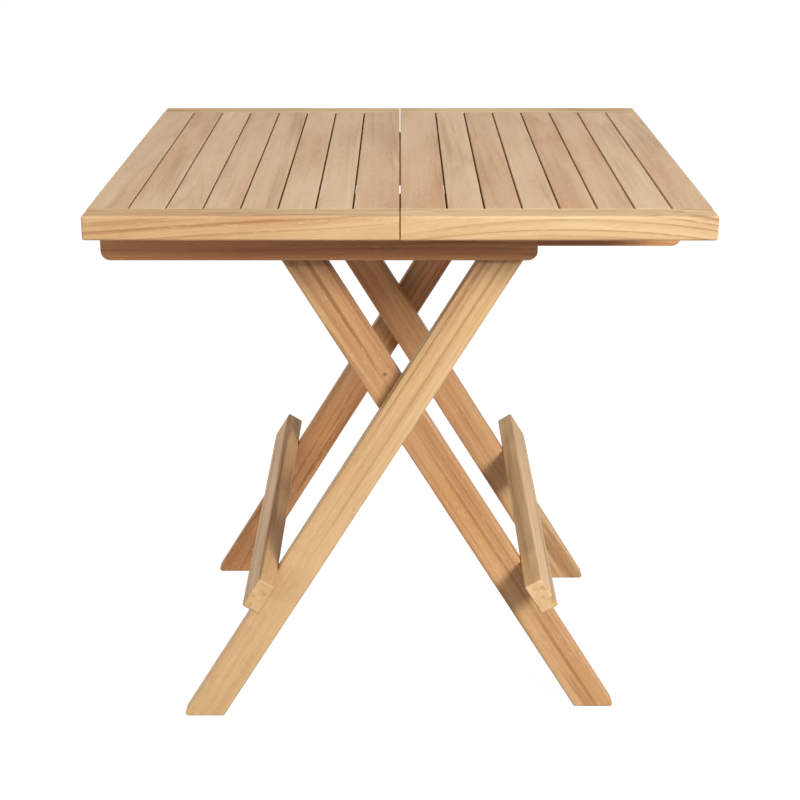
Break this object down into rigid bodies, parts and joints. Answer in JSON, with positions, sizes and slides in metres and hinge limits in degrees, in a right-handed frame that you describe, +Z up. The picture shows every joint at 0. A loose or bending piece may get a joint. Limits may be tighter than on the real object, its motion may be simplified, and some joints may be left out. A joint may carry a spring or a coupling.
{
  "type": "folding slatted table",
  "caption": "Square slatted teak patio table that folds: two top halves that meet at a seam, on two crossed leg frames joined by stretchers.",
  "frame": {"origin": "on the floor, under the middle of the table top, at the seam", "axes": "+Z up, +Y from the front edge to the back edge along the slats, +X to the right across the seam"},
  "size_m": [0.75, 0.75, 0.75],
  "materials": {
    "slat_teak": "sanded, unfinished",
    "rail_teak": "sanded, unfinished",
    "batten_teak": "sanded, unfinished",
    "leg_teak": "sanded, unfinished",
    "fastener_steel": "satin stainless"
  },
  "bodies": {
    "outer_legs": {"outer_front_leg": "leg_teak", "outer_back_leg": "leg_teak", "outer_stretcher": "leg_teak", "outer_stretcher_screws": "fastener_steel", "outer_stretcher_plugs": "leg_teak", "crossing_pins": "fastener_steel", "crossing_washers": "fastener_steel"},
    "inner_legs": {"inner_front_leg": "leg_teak", "inner_back_leg": "leg_teak", "inner_stretcher": "leg_teak", "inner_stretcher_screws": "fastener_steel", "inner_stretcher_plugs": "leg_teak"},
    "left_half": {"left_front_rail": "rail_teak", "left_back_rail": "rail_teak", "left_front_batten": "batten_teak", "left_back_batten": "batten_teak", "left_slat_1": "slat_teak", "left_slat_2": "slat_teak", "left_slat_3": "slat_teak", "left_slat_4": "slat_teak", "left_slat_5": "slat_teak", "left_slat_6": "slat_teak", "left_slat_7": "slat_teak", "left_slat_8": "slat_teak", "left_batten_screws": "fastener_steel", "left_pivot_pins": "fastener_steel", "left_pivot_washers": "fastener_steel"},
    "right_half": {"right_front_rail": "rail_teak", "right_back_rail": "rail_teak", "right_front_batten": "batten_teak", "right_back_batten": "batten_teak", "right_slat_1": "slat_teak", "right_slat_2": "slat_teak", "right_slat_3": "slat_teak", "right_slat_4": "slat_teak", "right_slat_5": "slat_teak", "right_slat_6": "slat_teak", "right_slat_7": "slat_teak", "right_slat_8": "slat_teak", "right_batten_screws": "fastener_steel", "right_pivot_pins": "fastener_steel", "right_pivot_washers": "fastener_steel"}
  },
  "joints": [
    {"name": "leg_scissor", "type": "hinge", "parent": "outer_legs", "child": "inner_legs", "pos_m": [0, 0, 0.4518], "axis": [0, 1, 0], "range_deg": [0, 62.5]},
    {"name": "left_half_pivot", "type": "hinge", "parent": "outer_legs", "child": "left_half", "pos_m": [0.15058, 0, 0.698], "axis": [0, 1, 0], "range_deg": [0, 31.25]},
    {"name": "right_half_pivot", "type": "hinge", "parent": "inner_legs", "child": "right_half", "pos_m": [-0.15058, 0, 0.698], "axis": [0, 1, 0], "range_deg": [-31.25, 0]}
  ],
  "couplings": [
    {"joint": "left_half_pivot", "follows": "leg_scissor", "ratio": 0.5},
    {"joint": "right_half_pivot", "follows": "leg_scissor", "ratio": -0.5}
  ]
}
